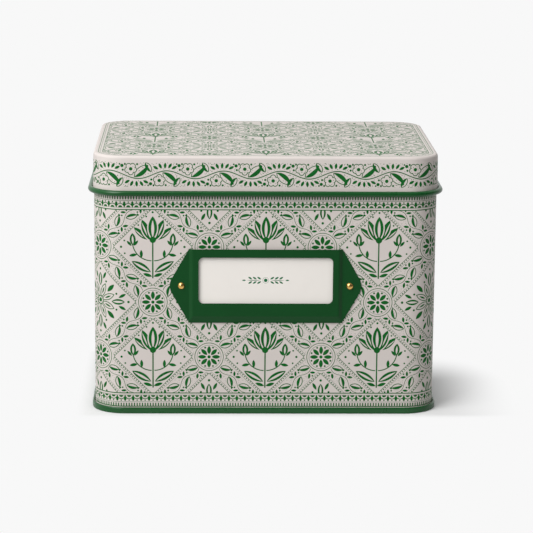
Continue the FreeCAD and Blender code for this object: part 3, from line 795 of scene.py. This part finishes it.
def makeWall():
    stepRise = wall["neckInset"] / math.tan(math.radians(wall["stepLean"]))
    neck = -wall["neckInset"]
    hem = neck - 2 * wall["rimRound"]
    line = bentLine(
        (wall["footOut"], wall["footTop"]),
        (wall["footOut"], wall["footBottom"], wall["footRound"]),
        (0, wall["footBottom"], wall["footRound"]),
        (0, wall["stepStart"], wall["stepRound"]),
        (neck, wall["stepStart"] + stepRise, wall["neckRound"]),
        (neck, wall["rimTop"], wall["rimRound"]),
        (hem, wall["rimTop"], wall["rimRound"]),
        (hem, wall["rimFoot"]),
    )
    chain = splitAt(closedSheet(line, 1, wallFinish), wall["grooveTop"])
    low, high = wall["grooveX"], wall["grooveX"] + wall["grooveWide"]
    bankOut, bankIn = wall["grooveBank"]
    edges = [low - bankOut, low + bankIn, high - bankIn, high + bankOut]

    def dent(along, across, up):
        x = halfGirth - along
        inside = edges[0] < x - tiny and x + tiny < edges[3]
        return -wall["grooveDeep"] if inside and abs(across) < tiny and up < wall["grooveTop"] + tiny else 0

    places = placesRound([behind(x) for x in edges])
    piece = roundTheTin("tinWall", chain, places, [wallPrint, plainGround, bareTin], closed=True, dent=dent)
    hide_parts("body_wall")
    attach(piece, "tin_body")


def makeLockSeam():
    # The folded side seam, inside the middle of the back
    face = halfDepth - sheet + wall["lockSunk"]
    inner = halfDepth - sheet - wall["lockThick"]
    half, edge = wall["lockHalf"], wall["lockEdge"]
    blunt = edge * tin["bluntShare"]
    outline = [(-half, face), (-half, inner + edge), (-half + blunt, inner + blunt), (-half + edge, inner)]
    outline += [(-x, y) for x, y in reversed(outline)]
    taperFoot = wall["lockTop"] - wall["lockTaper"]
    levels = ((wall["lockFoot"], 1.0), (taperFoot, 1.0), (wall["lockTop"], wall["lockEnd"]))
    loops = [[(x, face - (face - y) * share, up) for x, y in outline] for up, share in levels]
    piece = solidThrough("sideSeam", loops, bareTin)
    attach(piece, "tin_body")


makeWall()
makeLockSeam()

# Base: double seam and stamped panel

print("base")
base = {
    "hookStart": 0.2,
    "hookFoot": 1.2,
    "seamTop": 3.2,
    "seamOut": 1.5,
    "seamRound": 0.65,
    "heelRound": 0.5,
    "chuckIn": 0.8,
    "rise": 3.6,
    "innerRound": 0.6,
    "panelMargin": 8.4,
    "panelStep": 0.8,
    "plateIn": 12.0,
}


def openSheet(line, side, finishOf):
    # An open chain from one face's end over the sheet's edge to the other face's end
    near, far = sheetFaces(line, side)
    chain = [(*spot, finishOf("near", *spot)) for spot in reversed(near)]
    return chain + [(*spot, finishOf("far", *spot)) for spot in far]


def makeBase():
    top = base["rise"] + base["panelStep"]
    line = bentLine(
        (base["hookStart"], base["hookFoot"]),
        (base["hookStart"], base["seamTop"], base["seamRound"]),
        (base["seamOut"], base["seamTop"], base["seamRound"]),
        (base["seamOut"], 0, base["heelRound"]),
        (-base["chuckIn"], 0, base["heelRound"]),
        (-base["chuckIn"], base["rise"], base["innerRound"]),
        (-base["panelMargin"], base["rise"], base["innerRound"]),
        (-base["panelMargin"] - base["panelStep"], top, base["innerRound"]),
        (-base["plateIn"], top),
    )
    chain = openSheet(line, -1, lambda face, across, up: 0 if face == "near" else 1)
    caps = [(0, 0), (len(chain) - 1, 1)]
    piece = roundTheTin("tinBase", chain, placesRound(), [greenEnamel, bareTin], caps=caps)
    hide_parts("base_panel")
    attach(piece, "tin_body")


makeBase()

# Lid: curled edge, printed skirt and top, notched for the hinges

print("lid")
lid = {
    "curlRound": 1.45,
    "curlOut": 1.67,
    "curlUp": 116.5,
    "curlSweep": 314.1,
    "lean": 0.9,
    "topRound": 1.2,  # inside of the bend round the top
    "plateIn": 12.0,
    "greenFrom": 0.3,  # the curl's green begins this far out from the wall's face
    "skirtOut": 0.7,  # the skirt's outer face is nearer than this
    "notchTop": 118.5,
    "notchHalf": 6.0,
    "hingeX": 52.0,
}
lidTopFace, lidSkirt, lidGreen, lidInside = range(4)  # in the order of makeLid's materials


def lidFinish(face, across, up):
    curlTop = lid["curlUp"] + lid["curlRound"] + tiny
    if up < curlTop and (face == "near" or across > lid["skirtOut"]):
        showing = face == "near" and (across > lid["greenFrom"] or up < lid["curlUp"])
        return lidGreen if showing else lidInside
    if face == "near":
        return lidInside
    return lidSkirt if up < lidTop - tiny else lidTopFace


def makeLid():
    start = lid["curlSweep"] + lid["lean"] - 180
    curl = arcLine((lid["curlOut"], lid["curlUp"]), lid["curlRound"], start, -lid["curlSweep"])
    under = lidTop - sheet
    foot = curl[-1][0]
    rise = under - foot.y
    line = bentLine(
        tuple(foot),
        (foot.x - rise * math.tan(math.radians(lid["lean"])), under, lid["topRound"]),
        (-lid["plateIn"], under),
    )
    chain = openSheet(curl[:-1] + line, -1, lidFinish)
    chain = splitAt(chain, lid["notchTop"])
    notches = []
    for x in (-lid["hingeX"], lid["hingeX"]):
        notches.append(tuple(sorted((behind(x - lid["notchHalf"]), behind(x + lid["notchHalf"])))))
    places = placesRound([edge for notch in notches for edge in notch])
    caps = [(0, lidInside), (len(chain) - 1, lidTopFace)]
    materials = [topPrint, skirtPrint, greenEnamel, bareTin]
    notching = {"notches": notches, "notchTop": lid["notchTop"]}
    piece = roundTheTin("tinLid", chain, places, materials, caps=caps, flat=(lidTopFace,), **notching)
    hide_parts("lid_shell")
    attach(piece, "lid")


makeLid()

# Hinges: straps rolled round wires

print("hinges")
hinge = {
    "wireRound": 0.87,
    "wireEdge": 0.15,  # what its cut ends are blunted by
    "wireMiddle": 0.01,  # radius of the small flat left at an end
    "wirePlay": 0.06,
    "strapTop": 130.5,
    "strapHalf": 5.5,
    "drop": 0.6,
    "slant": 40.0,
    "innerBend": 0.6,
    "eyeSweep": 300.0,
}


def makeHinge(side):
    node = f"hinge_wire_{side}"
    low, high = (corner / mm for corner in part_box(node))
    centre = (low + high) / 2
    radius, edge = hinge["wireRound"], hinge["wireEdge"]
    blunt = edge * tin["bluntShare"]
    profile = [(hinge["wireMiddle"], low.x), (radius - edge, low.x)]
    profile += [(radius - blunt, low.x + blunt), (radius, low.x + edge)]
    profile += [(r, 2 * centre.x - x) for r, x in reversed(profile)]
    wire = turned(f"hingeWire.{side}", profile, Vector((0, centre.y, centre.z)), Vector((1, 0, 0)), drawnWire)
    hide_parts(node)
    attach(wire, "lid")

    eye = radius + hinge["wirePlay"]
    leafY = halfDepth - wall["neckInset"] + sheet
    eyeY = centre.y - eye
    outerBend = hinge["innerBend"] + sheet
    slant = math.radians(hinge["slant"])
    lowBend = centre.z + hinge["drop"] + outerBend * math.tan(slant / 2)
    highBend = lowBend + (eyeY - leafY) / math.tan(slant)
    line = bentLine(
        (leafY, hinge["strapTop"]),
        (leafY, highBend, hinge["innerBend"]),
        (eyeY, lowBend, outerBend),
        (eyeY, centre.z),
    )
    line = line[:-1] + arcLine((centre.y, centre.z), eye, 180, hinge["eyeSweep"])
    near, far = sheetFaces(line, -1)
    ends = (centre.x - hinge["strapHalf"], centre.x + hinge["strapHalf"])
    loops = [[(x, *spot) for spot in near + far[::-1]] for x in ends]
    strap = solidThrough(f"hingeStrap.{side}", loops, rolledTin)
    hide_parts(f"hinge_strap_{side}")
    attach(strap, "tin_body")


makeHinge("left")
makeHinge("right")

# Label holder, its rivets and its card

print("label")
holder = {
    "plate": 0.5,  # its thickness where it lies on the wall
    "footX": 39.6,  # foot of the side slopes
    "fold": 0.9,  # width of the bend along it
    "edge": 0.1,  # what is worn off the sheet's cut edges
    "flatBelow": 1.0,  # degrees; faces that differ less are joined
    "bluntAbove": 50.0,
    "steps": 4,
}


def softened(node, name, kind, wide, **settings):
    bevel = node.modifiers.new(name, "BEVEL")
    bevel.width = wide * mm
    bevel.segments = holder["steps"]
    bevel.limit_method = kind
    for setting, value in settings.items():
        setattr(bevel, setting, value)


def makeHolder():
    # The pressed holder: bends along the side slopes, and slightly blunt edges
    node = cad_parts["label_holder"]
    mesh = node.data
    mesh.materials.clear()
    mesh.materials.append(holderEnamel)
    footY = -halfDepth - holder["plate"]
    weights = mesh.attributes.new("bevel_weight_edge", "FLOAT", "EDGE")
    for edge in mesh.edges:
        ends = [mesh.vertices[index].co / mm for index in edge.vertices]
        if all(abs(abs(end.x) - holder["footX"]) < tiny and abs(end.y - footY) < tiny for end in ends):
            weights.data[edge.index].value = 1.0
    node.modifiers.new("join", "WELD").merge_threshold = tiny * mm
    flatten = node.modifiers.new("flatten", "DECIMATE")
    flatten.decimate_type = "DISSOLVE"
    flatten.angle_limit = math.radians(holder["flatBelow"])
    softened(node, "bends", "WEIGHT", holder["fold"])
    softened(node, "blunt", "ANGLE", holder["edge"], angle_limit=math.radians(holder["bluntAbove"]))
    mesh.shade_smooth()
    node.modifiers.new("evenShading", "WEIGHTED_NORMAL")


rivet = {
    "head": 1.85,
    "headEdge": 0.06,
    "dome": 1.15,
    "domeSteps": 10,
    "middle": 0.005,  # radius of the small flat left on the head
    "under": 0.02,  # the head's underside, sunk into the holder
    "shank": 0.95,
    "clinch": ((1.5, 0), (1.6, 0.1), (1.54, 0.36), (1.3, 0.5), (0.5, 0.5), (0.005, 0.38)),  # radius, height
}


def makeRivet(side):
    low, high = (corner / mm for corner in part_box(f"rivet_{side}"))
    centre = (low + high) / 2
    head, dome, face = rivet["head"], rivet["dome"], -holder["plate"]
    ball = (head ** 2 + dome ** 2) / (2 * dome)
    spread = math.asin(head / ball)
    profile = [(rivet["middle"], face - dome)]
    for step in range(rivet["domeSteps"]):
        turn = spread * (step + 1) / rivet["domeSteps"]
        profile.append((ball * math.sin(turn), face - dome + ball * (1 - math.cos(turn))))
    under = face + rivet["under"]
    profile += [(head - rivet["headEdge"], under), (rivet["shank"], under), (rivet["shank"], sheet)]
    profile += [(radius, sheet + up) for radius, up in rivet["clinch"]]
    place = Vector((centre.x, -halfDepth, centre.z))
    piece = turned(f"rivet.{side}", profile, place, Vector((0, 1, 0)), brass)
    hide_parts(f"rivet_{side}")
    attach(piece, "tin_body")


def makeCard():
    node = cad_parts["label_card"]
    node.data.materials.clear()
    node.data.materials.append(labelPaper)


makeHolder()
makeRivet("left")
makeRivet("right")
makeCard()

# Floor, light and camera

print("studio")
studio = {
    "floorHalf": 30.0,
    "floor": (0.76, 0.76, 0.76, 1.0),
    "bounce": (0.45, 0.45, 0.45, 1.0),  # its tone in its light on the tin, and mirrored from far in front
    "frontFloor": 100.0,  # mm of floor in front of the tin that show white in reflections
    "frontFade": 50.0,  # and mm over which it fades
    "room": (0.1, 0.1, 0.1, 1.0),  # what the tin mirrors from the front, where the white backdrop ends
    "mirror": (0.3, 1.5, 0.9, 0.6),  # of the backdrop: all round, and added behind, above and left
    "white": colour(248, 248, 248),  # of the backdrop, and of the floor away from the tin
    "contact": 9.0,  # mm of floor round the tin that show their shade
    "fadeFrom": -0.2,  # below 0, the shade is a little lighter even at the tin
    "shadeRight": 46.0,
    "shadeBack": 60.0,
    "sky": (0.08, 0.74, 0.3, 0.34),  # light from all round, and more from above, left and in front
    "window": 11.6,  # power of the window's light
    "windowFar": 1.1,
    "windowSize": (0.6, 1.0),
    "windowSide": 43.0,  # degrees to the left of the front
    "windowHigh": 41.0,
}


def directRays(tree):
    # First 1 for rays seen, mirrored or let through and 0 for lighting, then 1 for seen rays alone
    ray = linkedNode(tree, "ShaderNodeLightPath")
    kinds = ("Camera", "Glossy", "Transmission")
    seen, mirrored, through = (Field(tree, ray.outputs[f"Is {kind} Ray"]) for kind in kinds)
    return (seen + mirrored + through).math("MINIMUM", 1.0), seen


def shadeBy(tree, share, first, second, end):
    # Ends the tree in two shaders, by the second one's share
    inputs = {0: share.socket, 1: first.outputs[0], 2: second.outputs[0]}
    choice = linkedNode(tree, "ShaderNodeMixShader", inputs)
    tree.links.new(choice.outputs[0], tree.nodes[end].inputs["Surface"])


def makeFloor():
    # Pale floor that fades to the backdrop's white away from the tin
    half = studio["floorHalf"]
    corners = [(-half, -half, 0), (half, -half, 0), (half, half, 0), (-half, half, 0)]
    mesh = bpy.data.meshes.new("floor")
    mesh.from_pydata(corners, [], [(0, 1, 2, 3)])
    floor = addObject("floor", mesh)
    material, tree, shader, place = newMaterial("floorPaper", 0.0)
    shader.inputs["Roughness"].default_value = 1.0

    x, y = (part * (1 / mm) for part in partsOf(tree, place, "XY"))
    edgeX, edgeY = halfWidth + base["seamOut"], halfDepth + base["seamOut"]
    direct, seen = directRays(tree)
    inReach = (y + edgeY + studio["frontFloor"]).math("MULTIPLY", 1 / studio["frontFade"], clamp=True)
    direct = direct * seen.math("MAXIMUM", inReach)
    tree.links.new(mixed(tree, direct, studio["bounce"], studio["floor"]), shader.inputs["Base Color"])

    def past(field, reach):
        return field.math("MAXIMUM", 0.0) * (1 / reach)

    contact = studio["contact"]
    near = joinSpot(tree, past(x.size() - edgeX, contact), past(y.size() - edgeY, contact))
    across = past(x - edgeX, studio["shadeRight"]) + past(-x + edgeX - contact, contact)
    deep = past(y, studio["shadeBack"]) + past(-y - edgeY, contact)
    shade = near.reach() | joinSpot(tree, across, deep).reach()
    inputs = {"Value": shade.socket, "From Min": studio["fadeFrom"]}
    fade = linkedNode(tree, "ShaderNodeMapRange", inputs, interpolation_type="SMOOTHSTEP")
    white = linkedNode(tree, "ShaderNodeEmission", {"Color": studio["white"], "Strength": 1.0})
    shadeBy(tree, Field(tree, fade.outputs[0]) * direct, shader, white, "Material Output")
    mesh.materials.append(material)


def makeLight():
    # A soft sky, brighter to the left, and a window's light from the upper left
    world = bpy.data.worlds.new("studioLight")
    scene.world = world
    world.use_nodes = True
    tree = world.node_tree
    x, y, z = partsOf(tree, linkedNode(tree, "ShaderNodeTexCoord").outputs["Generated"])

    def towards(field, amount):
        return field.math("MAXIMUM", 0.0).math("POWER", 2.0) * amount

    even, above, left, front = studio["sky"]
    strength = towards(z, above) + towards(-x, left) + towards(-y, front) + even
    sky = tree.nodes["Background"]
    sky.inputs["Color"].default_value = (1, 1, 1, 1)
    tree.links.new(strength.socket, sky.inputs["Strength"])
    direct, seen = directRays(tree)
    even, back, above, left = studio["mirror"]
    shown = seen.math("MAXIMUM", (y * back + z * above - x * left).math("ADD", even, clamp=True))
    tone = mixed(tree, shown, studio["room"], studio["white"])
    backdrop = linkedNode(tree, "ShaderNodeBackground", {"Color": tone, "Strength": 1.0})
    shadeBy(tree, direct, sky, backdrop, "World Output")

    window = bpy.data.lights.new("window", "AREA")
    window.energy = studio["window"]
    window.shape = "RECTANGLE"
    window.size, window.size_y = studio["windowSize"]
    turn = Euler((math.radians(90 - studio["windowHigh"]), 0, math.radians(-studio["windowSide"])))
    toTin = Matrix.Translation((0, 0, lidTop / 2 * mm)) @ turn.to_matrix().to_4x4()
    lamp = addObject("window", window)
    lamp.matrix_world = toTin @ Matrix.Translation((0, 0, studio["windowFar"]))
    lamp.visible_camera = False


camera = {
    "place": (-30.53, -1205.96, 319.76),
    "turn": (1.549, 11.931, 0.472),  # yaw, pitch and roll in degrees
    "focus": 2265.04,  # focal length in pixels of the photograph
    "pixels": 533,
    "sensor": 36.0,
    "clip": (0.05, 100.0),  # metres
}


def makeCamera():
    data = bpy.data.cameras.new("camera")
    data.sensor_width = camera["sensor"]
    data.lens = camera["focus"] / camera["pixels"] * camera["sensor"]
    data.clip_start, data.clip_end = camera["clip"]
    eye = addObject("camera", data)
    yaw, pitch, roll = (math.radians(angle) for angle in camera["turn"])
    ahead = Vector((math.sin(yaw) * math.cos(pitch), math.cos(yaw) * math.cos(pitch), -math.sin(pitch)))
    right = ahead.cross(Vector((0, 0, 1))).normalized()
    up = right.cross(ahead)
    tiltedRight = right * math.cos(roll) + up * math.sin(roll)
    tiltedUp = up * math.cos(roll) - right * math.sin(roll)
    turn = Matrix((tiltedRight, tiltedUp, -ahead)).transposed().to_4x4()
    eye.matrix_world = Matrix.Translation(Vector(camera["place"]) * mm) @ turn
    scene.camera = eye


makeFloor()
makeLight()
makeCamera()
scene.view_settings.view_transform = "Standard"
